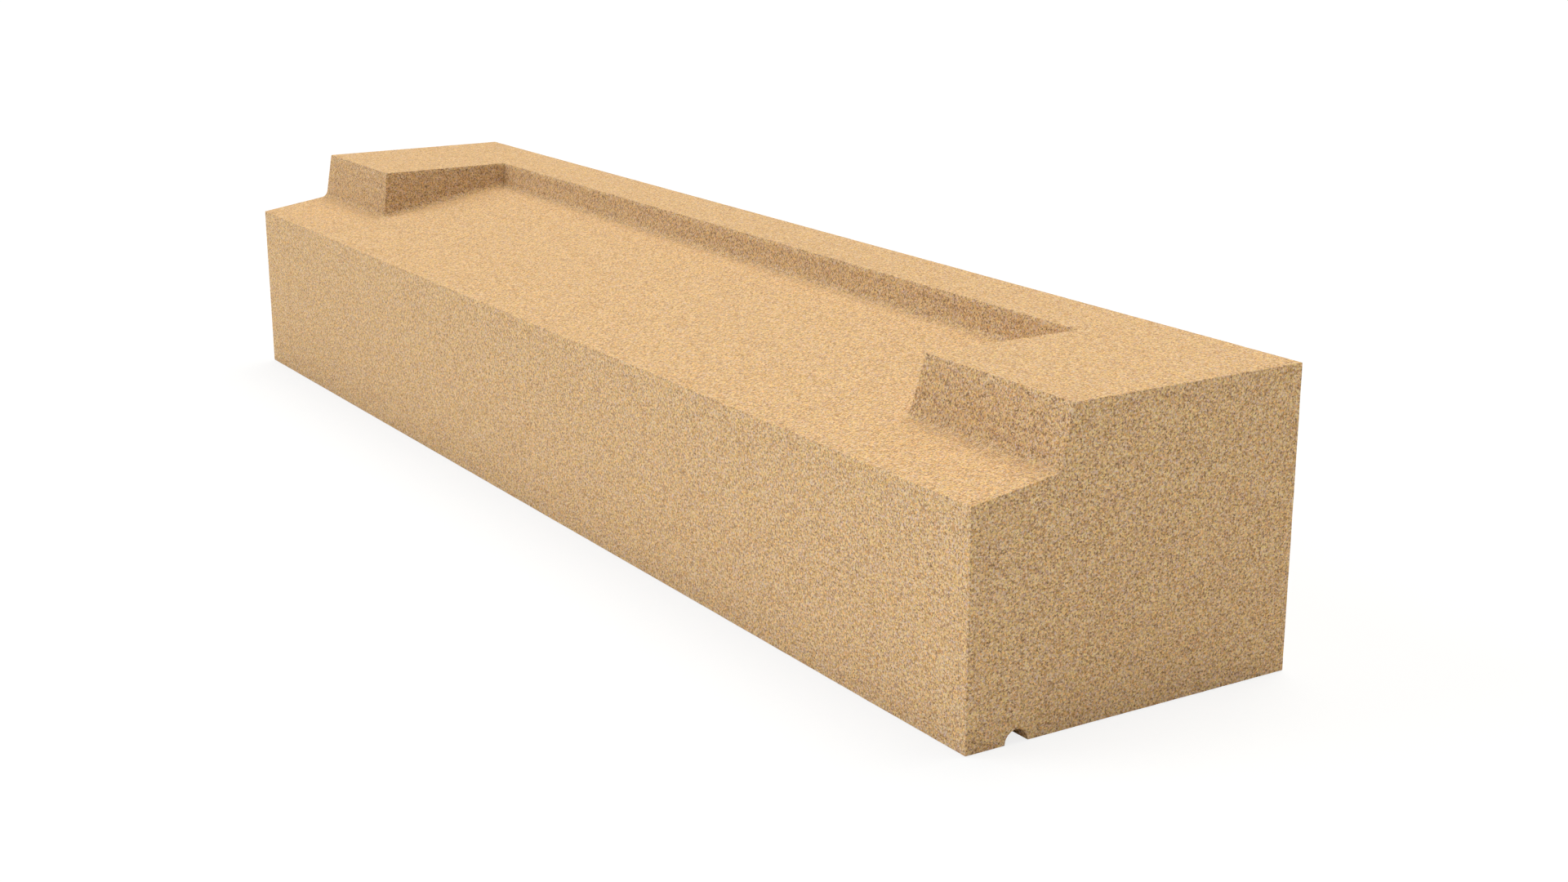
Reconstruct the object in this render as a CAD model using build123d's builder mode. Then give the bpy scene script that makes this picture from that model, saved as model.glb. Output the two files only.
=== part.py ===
from build123d import *
from math import radians, tan
import os

# Cast stone window sill with stooled ends. Millimetres.
# X runs along the wall, the weather face looks to -Y, Z is up.
# The origin is the middle of the underside.

# Overall block
length = 805.0  # along the wall, over both stools
depth = 175.0  # weather face to back face
height = 140.0  # underside to the seats, two brick courses

# Seats: a stool at each end for the jambs, and an upstand between them for the window frame
stool_width = 100.0  # at the seat
stool_setback = 50.0  # weather face to the stool's top front arris
upstand_thickness = 40.0  # at the seat
upstand_height = 15.0  # seat down to the head of the weathering

# Weathering: the sloped top that sheds water, between and in front of the stools
weathering_fall = 20.0  # drop from the foot of the upstand to the weather face
batter = 10.0  # degrees that the recess walls lean back, so that the former lifts out
cove_radius = 5.0  # where the recess walls meet the weathering

# Drip groove: half round, along the whole underside
drip_width = 12.0
drip_setback = 20.0  # weather face to the groove's near edge

# Places that follow from those sizes
weather_face = -depth / 2
back_face = depth / 2
stool_front = weather_face + stool_setback
upstand_front = back_face - upstand_thickness
upstand_foot = upstand_front - upstand_height * tan(radians(batter))
clear_opening = length - 2 * stool_width
front_height = height - upstand_height - weathering_fall
recess_depth = height - front_height
drip_middle = weather_face + drip_setback + drip_width / 2

# The seats share one plane, and the walls of the recess lean back from their lines on it
seat_plane = Plane.XY.offset(height)

# The weathering plane passes through the top front arris and the foot of the upstand
weathering = Plane(
    origin=(0, weather_face, front_height),
    x_dir=(1, 0, 0),
    z_dir=(0, -weathering_fall, upstand_foot - weather_face),
)

# The mould's former stands out past the block where the recess is open, by more than its lean and cove
overrun = recess_depth + 2 * cove_radius

# Former: the shape of the recess, wide at the seats and narrower towards the weathering
with BuildPart() as former:
    with BuildSketch(seat_plane) as recess_plan:
        with Locations((0, stool_front)):
            Rectangle(length + 2 * overrun, stool_setback + overrun, align=(Align.CENTER, Align.MAX))
        with Locations((0, upstand_front)):
            Rectangle(clear_opening, upstand_front - weather_face, align=(Align.CENTER, Align.MAX))
    extrude(amount=-(recess_depth + overrun))
    walls = former.faces().filter_by(Axis.Z, reverse=True)
    draft(walls, neutral_plane=seat_plane, angle=-batter)
    split(bisect_by=weathering, keep=Keep.TOP)
    underside = former.faces().filter_by(weathering)
    fillet(underside.edges(), radius=cove_radius)

# Sill: the block with its drip groove, less the former
with BuildPart() as sill:
    with BuildSketch(Plane.YZ) as section:
        Rectangle(depth, height, align=(Align.CENTER, Align.MIN))
        with Locations((drip_middle, 0)):
            Circle(drip_width / 2, mode=Mode.SUBTRACT)
    extrude(amount=length / 2, both=True)
    add(former.part, mode=Mode.SUBTRACT)

sill.part.label = "sill"
os.makedirs("parts", exist_ok=True)
export_step(sill.part, "parts/sill.step")
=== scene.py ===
import math

import bpy
import numpy as np
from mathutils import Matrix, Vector, noise


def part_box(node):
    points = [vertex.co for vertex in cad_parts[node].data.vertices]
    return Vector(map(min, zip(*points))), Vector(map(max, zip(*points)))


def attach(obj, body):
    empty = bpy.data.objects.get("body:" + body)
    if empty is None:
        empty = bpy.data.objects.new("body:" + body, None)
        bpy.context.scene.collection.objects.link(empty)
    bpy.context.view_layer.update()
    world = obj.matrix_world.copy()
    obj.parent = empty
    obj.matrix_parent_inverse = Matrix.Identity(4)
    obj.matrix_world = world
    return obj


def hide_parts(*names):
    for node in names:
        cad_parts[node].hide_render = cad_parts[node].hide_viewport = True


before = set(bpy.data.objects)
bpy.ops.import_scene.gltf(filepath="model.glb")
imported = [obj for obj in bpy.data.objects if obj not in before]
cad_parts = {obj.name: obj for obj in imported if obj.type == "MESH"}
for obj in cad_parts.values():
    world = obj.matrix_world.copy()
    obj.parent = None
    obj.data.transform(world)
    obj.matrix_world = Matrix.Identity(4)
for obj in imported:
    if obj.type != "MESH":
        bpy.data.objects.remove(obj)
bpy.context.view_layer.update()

# Cast stone window sill with stooled ends, as one dressed piece of stone.
# The stone's shape is worked out in millimetres and made in metres, in the CAD's own frame:
# X runs along the wall, the weather face looks to -Y, Z is up, the origin is the middle of the underside.
MM = 0.001

# Overall block, read from the frame
low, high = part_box("sill")
length, depth, height = (high - low) / MM

# Sizes of the cast shape, as in the CAD
stool_width = 100.0
stool_setback = 50.0
upstand_thickness = 40.0
upstand_height = 15.0
weathering_fall = 20.0
batter = math.radians(10.0)
cove_radius = 5.0
drip_width = 12.0
drip_setback = 20.0

# Wear of the cast surface
arris_radius = 0.25  # arrises are crisp, only eased
arris_wear = 0.6  # share of that radius by which it comes and goes along an arris
arris_wear_size = 14.0  # length of a worn stretch
arris_wear_offset = Vector((3.1, 7.7, 1.3))  # which part of the noise it takes
recess_easing = 4 * arris_radius  # difference in height over which two faces of the top run into each other
swell_height = 0.05  # swell of the faces
swell_size = 6.0
swell_offset = Vector((0.4, 2.2, 9.1))

# Spacing of the mesh lines
plain_step = 3.1  # on plain faces
wall_step = 0.45  # across the recess walls, as seen from above
cove_step = 0.8  # across the coves, as seen from above
near_line = 0.3  # in from each arris
far_line = 0.8  # in from each arris
drip_sides = 12  # round the half circle of the drip groove
slope_probe = 0.05  # to each side of a point, to find the slope of the top there
sharp_angle = math.radians(40.0)  # edges sharper than this aren't shaded smooth

# Places that follow from those sizes
weather_face = -depth / 2
back_face = depth / 2
stool_front = weather_face + stool_setback
stool_side = length / 2 - stool_width
upstand_front = back_face - upstand_thickness
upstand_foot = upstand_front - upstand_height * math.tan(batter)
front_height = height - upstand_height - weathering_fall
weathering_slope = weathering_fall / (upstand_foot - weather_face)
drip_radius = drip_width / 2
drip_middle = weather_face + drip_setback + drip_radius

# The stool's front wall meets the weathering where both have the same height
stool_rise = height - front_height - weathering_slope * stool_setback
stool_foot = stool_front - stool_rise * math.tan(batter) / (1 - weathering_slope * math.tan(batter))

# Colours of the stone, linear: the stone's own, and tints of it for what it is made of
stone_colour = (0.658, 0.426, 0.224)
sand_shades = [
    (0.00, (0.65, 0.58, 0.51)),  # brown
    (0.50, (1.00, 0.99, 0.98)),  # the stone itself
    (1.00, (1.21, 1.38, 1.55)),  # pale
]
sand_hues = [
    (0.00, (1.20, 1.01, 0.76)),  # orange
    (0.25, (1.03, 1.11, 0.86)),  # ochre
    (0.50, (1.08, 0.96, 0.98)),  # pinkish tan
    (0.75, (0.90, 0.98, 1.08)),  # drab
    (1.00, (0.88, 0.87, 1.30)),  # lavender grey
]
grain_tints = [
    (0.00, (0.43, 0.38, 0.36)),  # dark
    (0.30, (0.90, 0.92, 1.10)),  # grey
    (0.50, (1.16, 1.22, 1.02)),  # buff
    (0.70, (1.24, 1.43, 1.68)),  # cream
]
flake_tint = (1.14, 1.22, 1.12)
# painted shade: the dark colour of the pores stands for the shade inside these small pits
pore_shade_tint = (0.28, 0.25, 0.24)

# How strongly each covers the sand
grain_strength = 0.8
flake_strength = 0.6
# how strongly the pores' painted shade covers the sand
pore_shade_strength = 0.9

# Sizes of what the stone is made of, in millimetres, and the share of places that have a grain or flake
sand_size = 0.66
grain_spacing = 1.5
grain_radius = 0.6
grain_share = 0.65
flake_spacing = 3.4
flake_radius = 1.4
flake_share = 0.15
spot_core = 0.7  # share of a grain's or flake's radius from which its edge fades
pore_spacing = 2.0
pore_width = 0.55

# Noise, in waves to the millimetre: it makes the grains' outlines ragged, and says where there are pores
ragged_waves = 1.2
ragged_detail = 2.0
ragged_reach = 0.45
pore_patch_waves = 0.8
pore_patch_detail = 1.0
pore_patch_edge = (0.55, 0.62)  # no pores below the first value of the noise, full ones above the second

# Painted light on faces that look up, as light from above would fall there: the pores' painted shade is
# lightened and the tints are flattened toward the stone's colour. It is not a skin of the stone.
toplit_facing = (0.5, 0.9)  # how far up a face looks where this painted light starts and where it is full
# share by which the pores' painted shade is lightened on faces that look up
toplit_pore_lightening = 0.5
# share by which the tints are flattened on faces that look up, as painted light
toplit_tint_flattening = 0.12

# Finish of the stone
grain_lift = 0.05  # height of a grain above the sand, in millimetres
pore_depth = 1.5  # times that height
specular_level = 0.05
sand_roughness = 1.0
sand_smoother = 0.15  # the smoothest sand is less rough by this
grain_smoother = 0.1  # and a grain by this more

# A Mix node has sockets for each kind of data: these are its share, its two colours and the mixed colour
mix_inputs = (0, 6, 7)
mix_result = 2

# The photograph's camera, in metres and degrees
camera_lens = 50.0
camera_sensor = 36.0
camera_place = (1.04557, -0.58005, 0.35805)
camera_down = 15.680
camera_turn = 57.694

# Floor, in metres
floor_half = 20.0
floor_level = -0.0003  # just under the sill
floor_colour = (0.96, 0.96, 0.96, 1.0)
floor_whiteness = 0.8  # share of plain white in what is seen of the floor, the rest has the shadow

# Light: the surround, and the lamps as (name, bearing, rise, level, colour)
surround_colour = (0.93, 1.0, 1.07, 1.0)
surround_strength = 0.42
lamp_breadth = 40.0  # degrees
lamp_distance = 3.0
lamps = [
    ("key", -160.0, 73.0, 0.64, (1.05, 0.99, 0.86)),
    ("fill", -40.0, 32.0, 0.38, (0.96, 1.0, 1.06)),
]


def weathering_height(y):
    """Height of the sloped top."""
    return front_height + weathering_slope * (y - weather_face)


def coved_wall(run, floor, fall):
    """Height of a battered wall with a cove at its foot, at a run out from that foot.

    floor is the height of the weathering there, and fall is how steeply it drops away from the wall."""
    foot = floor + fall * run
    wall = foot - run / math.tan(batter)
    tilt = math.atan(fall)
    tangent = cove_radius / math.tan((math.pi / 2 + batter + tilt) / 2)
    centre_run = tangent * math.cos(tilt) + cove_radius * math.sin(tilt)
    centre_height = foot - tangent * math.sin(tilt) + cove_radius * math.cos(tilt)
    arc = centre_height - np.sqrt(np.maximum(cove_radius**2 - (run - centre_run) ** 2, 0.0))
    on_wall = run < -tangent * math.sin(batter)
    on_cove = run < tangent * math.cos(tilt)
    return np.where(on_wall, wall, np.where(on_cove, arc, floor))


def eased_min(a, b):
    """The lower of two heights, with their crossing rounded off."""
    share = np.clip(0.5 + 0.5 * (b - a) / recess_easing, 0.0, 1.0)
    return b + (a - b) * share - recess_easing * share * (1 - share)


def top_height(x, y):
    """Height of the top: seats, recess walls, coves and weathering.

    The walls run on well above the seats, and are then cut off level with them."""
    well_above = 2 * height
    floor = weathering_height(y)
    side_foot = stool_side - (height - floor) * math.tan(batter)
    front = coved_wall(stool_foot - y, floor, weathering_slope)
    rear = coved_wall(upstand_foot - y, floor, weathering_slope)
    side = coved_wall(side_foot - np.abs(x), floor, 0.0)
    recess = eased_min(np.minimum(front, well_above), np.minimum(np.maximum(side, rear), well_above))
    return eased_min(recess, height)


def underside_height(y):
    """Height of the underside: level, with the half round drip groove."""
    return np.sqrt(np.maximum(drip_radius**2 - (y - drip_middle) ** 2, 0.0))


def spaced(stations, last):
    """Mesh lines from stations of (place, step), each step holding to the next place, up to the last one."""
    starts = [place for place, _ in stations]
    places = [starts[0]]
    for (start, step), end in zip(stations, [*starts[1:], last]):
        count = max(1, round(abs(end - start) / step))
        places.extend(np.linspace(start, end, count + 1)[1:])
    return np.array(places)


def lines_along():
    """Mesh lines along the sill, closer at the ends and at the stools' inner walls."""
    deepest_foot = stool_side - (height - weathering_height(stool_foot)) * math.tan(batter)
    end = length / 2
    stations = [
        (0.0, plain_step),
        (deepest_foot - cove_radius, cove_step),
        (deepest_foot, wall_step),
        (stool_side, near_line),
        (stool_side + far_line, plain_step),
    ]
    half = np.concatenate([spaced(stations, end - far_line), [end - near_line, end]])
    return np.concatenate([-half[:0:-1], half])


def lines_across():
    """Mesh lines from the weather face to the back, closer at the arrises, walls, coves and groove."""
    turns = np.linspace(0.0, math.pi, drip_sides + 1)
    groove = drip_middle - drip_radius * np.cos(turns)
    front_rim = [weather_face, weather_face + near_line]
    before = spaced([(weather_face + far_line, plain_step)], groove[0])
    stations = [
        (groove[-1], plain_step),
        (stool_foot - cove_radius, cove_step),
        (stool_foot, wall_step),
        (stool_front, near_line),
        (stool_front + far_line, plain_step),
        (upstand_foot - cove_radius, cove_step),
        (upstand_foot, wall_step),
        (upstand_front, near_line),
        (upstand_front + far_line, plain_step),
    ]
    after = spaced(stations, back_face - far_line)
    back_rim = [back_face - near_line, back_face]
    return np.concatenate([front_rim, before, groove[1:-1], after, back_rim])


def rows_up(bottom, top):
    """Heights of the mesh rows between the underside and the top, one array for each row."""
    count = round(height / plain_step)
    lowest = bottom + far_line
    highest = top - far_line
    between = [lowest + (highest - lowest) * k / count for k in range(count + 1)]
    return [bottom, bottom + near_line, *between, top - near_line, top]


def block_faces(numbers):
    """Quads over the six sides of a block of numbered lattice points, facing out."""

    def quads(side):
        corners = (side[:-1, :-1], side[1:, :-1], side[1:, 1:], side[:-1, 1:])
        return np.stack(corners, -1).reshape(-1, 4)

    outward = [numbers[-1], numbers[:, 0], numbers[:, :, -1]]
    inward = [numbers[0], numbers[:, -1], numbers[:, :, 0]]
    faces = [quads(side) for side in outward]
    faces += [quads(side)[:, ::-1] for side in inward]
    return np.concatenate(faces)


def wave(points, size, offset):
    """Smooth noise, about -1 to 1, at each of the points, with waves of about the given size."""
    return np.array([noise.noise(Vector(p) / size + offset) for p in points])


def ease_arrises(points):
    """Rounds off the outer arrises, with a radius that comes and goes along them."""
    x, y, z = points.T
    top = top_height(x, y)
    slope_x = (top_height(x + slope_probe, y) - top_height(x - slope_probe, y)) / (2 * slope_probe)
    slope_y = (top_height(x, y + slope_probe) - top_height(x, y - slope_probe)) / (2 * slope_probe)
    top_normal = np.stack([-slope_x, -slope_y, np.ones_like(x)], -1)
    top_normal /= np.linalg.norm(top_normal, axis=1, keepdims=True)
    axes = np.eye(3)

    # Each side of the block as (how far inside it a point is, which way it faces there)
    sides = [
        (length / 2 - np.abs(x), np.sign(x)[:, None] * axes[0]),
        (depth / 2 - np.abs(y), np.sign(y)[:, None] * axes[1]),
        (z - underside_height(y), np.repeat(-axes[2:], len(x), 0)),
        ((top - z) * top_normal[:, 2], top_normal),
    ]
    radius = arris_radius * (1 + arris_wear * wave(points, arris_wear_size, arris_wear_offset))
    push = sum(np.maximum(radius - inside, 0.0)[:, None] * normal for inside, normal in sides)
    reach = np.linalg.norm(push, axis=1)
    excess = np.maximum(1 - radius / np.maximum(reach, radius), 0.0)
    return points - push * excess[:, None]


def make_sill():
    """The sill as one closed mesh of quads."""
    grid_x, grid_y = np.meshgrid(lines_along(), lines_across(), indexing="ij")
    rows = rows_up(underside_height(grid_y), top_height(grid_x, grid_y))
    lattice = np.stack([np.stack([grid_x, grid_y, row], -1) for row in rows], 2)
    shell = np.ones(lattice.shape[:3], bool)
    shell[1:-1, 1:-1, 1:-1] = False
    numbers = np.full(shell.shape, -1)
    numbers[shell] = np.arange(shell.sum())
    points = ease_arrises(lattice[shell])

    mesh = bpy.data.meshes.new("sill_stone")
    mesh.from_pydata(points * MM, [], block_faces(numbers))
    normals = np.array([normal.vector for normal in mesh.vertex_normals])
    points += normals * (swell_height * wave(points, swell_size, swell_offset))[:, None]
    mesh.vertices.foreach_set("co", (points * MM).ravel())
    mesh.polygons.foreach_set("use_smooth", np.ones(len(mesh.polygons), bool))
    mesh.set_sharp_from_angle(angle=sharp_angle)
    mesh.update()
    stone = bpy.data.objects.new("sill_stone", mesh)
    bpy.context.scene.collection.objects.link(stone)
    return stone


def tinted(tint):
    """The stone's colour times a tint."""
    return tuple(base * share for base, share in zip(stone_colour, tint))


def tinted_stops(stops):
    """The stone's colour times each tint of the stops."""
    return [(value, tinted(tint)) for value, tint in stops]


def feed(tree, socket, value):
    """Links a socket to another, or sets it to a value."""
    if isinstance(value, bpy.types.NodeSocket):
        tree.links.new(value, socket)
    else:
        socket.default_value = value


def add_node(tree, kind, settings=None, **inputs):
    """Adds a node with its settings, and feeds its inputs by name."""
    made = tree.nodes.new(kind)
    for name, value in (settings or {}).items():
        setattr(made, name, value)
    for name, value in inputs.items():
        feed(tree, made.inputs[name], value)
    return made


def calculate(tree, operation, *values):
    """A Math node's result."""
    made = add_node(tree, "ShaderNodeMath", {"operation": operation})
    for socket, value in zip(made.inputs, values):
        feed(tree, socket, value)
    return made.outputs["Value"]


def mix_colours(tree, share, under, over, how="MIX"):
    """Two colours mixed, by a share of the one that is over the other."""
    made = add_node(tree, "ShaderNodeMix", {"data_type": "RGBA", "blend_type": how})
    share_socket, under_socket, over_socket = (made.inputs[number] for number in mix_inputs)
    feed(tree, share_socket, share)
    feed(tree, under_socket, under)
    feed(tree, over_socket, over)
    return made.outputs[mix_result]


def cover(tree, under, over, mask, strength):
    """A colour covered by another where the mask is 1, by the given strength."""
    return mix_colours(tree, calculate(tree, "MULTIPLY", mask, strength), under, over)


def step_between(tree, value, start, end):
    """0 before start, 1 past end, smooth between."""
    made = add_node(tree, "ShaderNodeMapRange", {"interpolation_type": "SMOOTHSTEP"}, Value=value)
    made.inputs["From Min"].default_value = start
    made.inputs["From Max"].default_value = end
    return made.outputs["Result"]


def waves(tree, place, scale, detail):
    """A noise node."""
    return add_node(tree, "ShaderNodeTexNoise", None, Vector=place, Scale=scale, Detail=detail)


def voronoi(tree, place, spacing, feature="F1"):
    """Cells about as wide as the spacing."""
    return add_node(tree, "ShaderNodeTexVoronoi", {"feature": feature}, Vector=place, Scale=1 / spacing)


def draws(tree, cells):
    """Three random values for each cell, named Red, Green and Blue."""
    return add_node(tree, "ShaderNodeSeparateColor", None, Color=cells.outputs["Color"]).outputs


def scattered(tree, place, spacing, radius, share):
    """Spots in a share of the cells: 1 inside them and 0 outside, and a random value for each."""
    cells = voronoi(tree, place, spacing)
    draw = draws(tree, cells)
    reach = radius / spacing
    within = step_between(tree, cells.outputs["Distance"], reach, spot_core * reach)
    chosen = calculate(tree, "LESS_THAN", draw["Red"], share)
    return calculate(tree, "MULTIPLY", within, chosen), draw["Green"]


def ramp(tree, draw, stops, between="LINEAR"):
    """A colour by a value of 0 to 1, from stops of (value, colour)."""
    made = add_node(tree, "ShaderNodeValToRGB", None, Fac=draw)
    made.color_ramp.interpolation = between
    elements = made.color_ramp.elements
    for index, (value, colour) in enumerate(stops):
        element = elements[index] if index < len(elements) else elements.new(value)
        element.position = value
        element.color = (*colour, 1.0)
    return made.outputs["Color"]


def make_stone():
    """Matt buff cast stone: sand of many tints with grains, a few pale flakes and short pores darkened with
    painted shade; faces that look up get painted light, with lighter pores and flatter tints.
    """
    material = bpy.data.materials.new("cast_stone")
    material.use_nodes = True
    tree = material.node_tree
    shader = tree.nodes["Principled BSDF"]
    shader.inputs["Specular IOR Level"].default_value = specular_level

    # Place in the stone, in millimetres, and shifted a little for ragged outlines
    own = add_node(tree, "ShaderNodeTexCoord").outputs
    scaled = add_node(
        tree, "ShaderNodeVectorMath", {"operation": "SCALE"}, Vector=own["Object"], Scale=1 / MM
    )
    place = scaled.outputs["Vector"]
    shift = waves(tree, place, ragged_waves, ragged_detail).outputs["Color"]
    shifted = add_node(tree, "ShaderNodeVectorMath", {"operation": "MULTIPLY_ADD"}, Vector=shift)
    feed(tree, shifted.inputs[1], (ragged_reach, ragged_reach, ragged_reach))
    feed(tree, shifted.inputs[2], place)
    ragged = shifted.outputs["Vector"]

    sand = voronoi(tree, ragged, sand_size)
    sand_draw = draws(tree, sand)
    shades = ramp(tree, sand_draw["Green"], sand_shades)
    hues = ramp(tree, sand_draw["Red"], tinted_stops(sand_hues))
    colour = mix_colours(tree, 1.0, hues, shades, "MULTIPLY")

    flake, _ = scattered(tree, ragged, flake_spacing, flake_radius, flake_share)
    colour = cover(tree, colour, (*tinted(flake_tint), 1.0), flake, flake_strength)
    grain, grain_draw = scattered(tree, ragged, grain_spacing, grain_radius, grain_share)
    grain_colour = ramp(tree, grain_draw, tinted_stops(grain_tints), "CONSTANT")
    colour = cover(tree, colour, grain_colour, grain, grain_strength)

    # Pores are short stretches of the seams between cells, pressed in by the bump and darkened with painted
    # shade. On faces that look up, painted light lightens that shade and flattens the tints.
    seams = voronoi(tree, ragged, pore_spacing, "DISTANCE_TO_EDGE")
    along_seam = step_between(tree, seams.outputs["Distance"], pore_width / pore_spacing / 2, 0.0)
    patches = waves(tree, place, pore_patch_waves, pore_patch_detail)
    in_patch = step_between(tree, patches.outputs["Fac"], *pore_patch_edge)
    pore = calculate(tree, "MULTIPLY", along_seam, in_patch)
    upward = add_node(tree, "ShaderNodeSeparateXYZ", None, Vector=own["Normal"]).outputs["Z"]
    toplit_share = step_between(tree, upward, *toplit_facing)
    pore_shade_show = calculate(tree, "MULTIPLY_ADD", toplit_share, -toplit_pore_lightening, pore_shade_strength)
    # painted shade inside the pores, lighter on faces that look up
    colour = cover(tree, colour, (*tinted(pore_shade_tint), 1.0), pore, pore_shade_show)
    # painted light: tints flattened toward the stone's colour on faces that look up
    colour = cover(tree, colour, (*stone_colour, 1.0), toplit_share, toplit_tint_flattening)
    feed(tree, shader.inputs["Base Color"], colour)

    roughness = calculate(tree, "MULTIPLY_ADD", sand_draw["Blue"], -sand_smoother, sand_roughness)
    roughness = calculate(tree, "MULTIPLY_ADD", grain, -grain_smoother, roughness)
    feed(tree, shader.inputs["Roughness"], roughness)

    # Sand lies higher or lower and falls away from its middle, grains stand up and pores go in
    lift = calculate(tree, "SUBTRACT", sand_draw["Green"], sand.outputs["Distance"])
    lift = calculate(tree, "ADD", lift, grain)
    lift = calculate(tree, "MULTIPLY_ADD", pore, -pore_depth, lift)
    bump = add_node(tree, "ShaderNodeBump", None, Height=lift, Strength=1.0, Distance=grain_lift * MM)
    feed(tree, shader.inputs["Normal"], bump.outputs["Normal"])
    return material


def make_camera():
    """The photograph's camera."""
    lens = bpy.data.cameras.new("camera")
    lens.lens = camera_lens
    lens.sensor_width = camera_sensor
    camera = bpy.data.objects.new("camera", lens)
    camera.location = camera_place
    camera.rotation_euler = (math.pi / 2 - math.radians(camera_down), 0.0, math.radians(camera_turn))
    bpy.context.scene.collection.objects.link(camera)
    bpy.context.scene.camera = camera


def seen_directly(tree):
    """1 for what the camera sees, straight or through a mirror or glass, and 0 for light on its way."""
    path = tree.nodes.new("ShaderNodeLightPath")
    direct = calculate(tree, "MAXIMUM", path.outputs["Is Camera Ray"], path.outputs["Is Glossy Ray"])
    return calculate(tree, "MAXIMUM", direct, path.outputs["Is Transmission Ray"])


def mix_shaders(tree, share, first, second, output):
    """Two shaders mixed, to an output's surface."""
    mixed = tree.nodes.new("ShaderNodeMixShader")
    feed(tree, mixed.inputs[0], share)
    feed(tree, mixed.inputs[1], first.outputs[0])
    feed(tree, mixed.inputs[2], second.outputs[0])
    feed(tree, output.inputs["Surface"], mixed.outputs[0])


def make_floor():
    """A plain white floor that shows white, with a light shadow of the sill."""
    mesh = bpy.data.meshes.new("floor")
    turns = [(-1, -1), (1, -1), (1, 1), (-1, 1)]
    corners = [(floor_half * across, floor_half * away, floor_level) for across, away in turns]
    mesh.from_pydata(corners, [], [(0, 1, 2, 3)])
    floor = bpy.data.objects.new("floor", mesh)
    bpy.context.scene.collection.objects.link(floor)

    material = bpy.data.materials.new("floor_white")
    material.use_nodes = True
    tree = material.node_tree
    tree.nodes.clear()
    paint = add_node(tree, "ShaderNodeBsdfDiffuse", None, Color=floor_colour)
    glow = add_node(tree, "ShaderNodeEmission", None, Strength=1.0)
    share = calculate(tree, "MULTIPLY", seen_directly(tree), floor_whiteness)
    mix_shaders(tree, share, paint, glow, tree.nodes.new("ShaderNodeOutputMaterial"))
    mesh.materials.append(material)


def make_world():
    """An even, slightly cool surround, which the camera sees as a white backdrop."""
    world = bpy.data.worlds.new("studio")
    world.use_nodes = True
    tree = world.node_tree
    light = tree.nodes["Background"]
    light.inputs["Color"].default_value = surround_colour
    light.inputs["Strength"].default_value = surround_strength
    backdrop = add_node(tree, "ShaderNodeBackground", None, Color=(1.0, 1.0, 1.0, 1.0), Strength=1.0)
    mix_shaders(tree, seen_directly(tree), light, backdrop, tree.nodes["World Output"])
    bpy.context.scene.world = world


def make_lamp(name, bearing, rise, level, colour):
    """A broad soft lamp far off. bearing is degrees from straight in front, towards the right end.

    At a level of 1 it would show a white surface that faces it as plain white."""
    lamp = bpy.data.lights.new(name, "SUN")
    lamp.energy = math.pi * level
    lamp.color = colour
    lamp.angle = math.radians(lamp_breadth)
    source = bpy.data.objects.new(name, lamp)
    across = math.radians(bearing)
    up = math.radians(rise)
    way = Vector((math.sin(across) * math.cos(up), -math.cos(across) * math.cos(up), math.sin(up)))
    source.location = way * lamp_distance
    source.rotation_euler = (-way).to_track_quat("-Z", "Y").to_euler()
    bpy.context.scene.collection.objects.link(source)


sill = make_sill()
sill.data.materials.append(make_stone())
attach(sill, "root")
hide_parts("sill")

make_floor()
make_world()
for lamp_values in lamps:
    make_lamp(*lamp_values)
make_camera()
bpy.context.scene.view_settings.view_transform = "Standard"
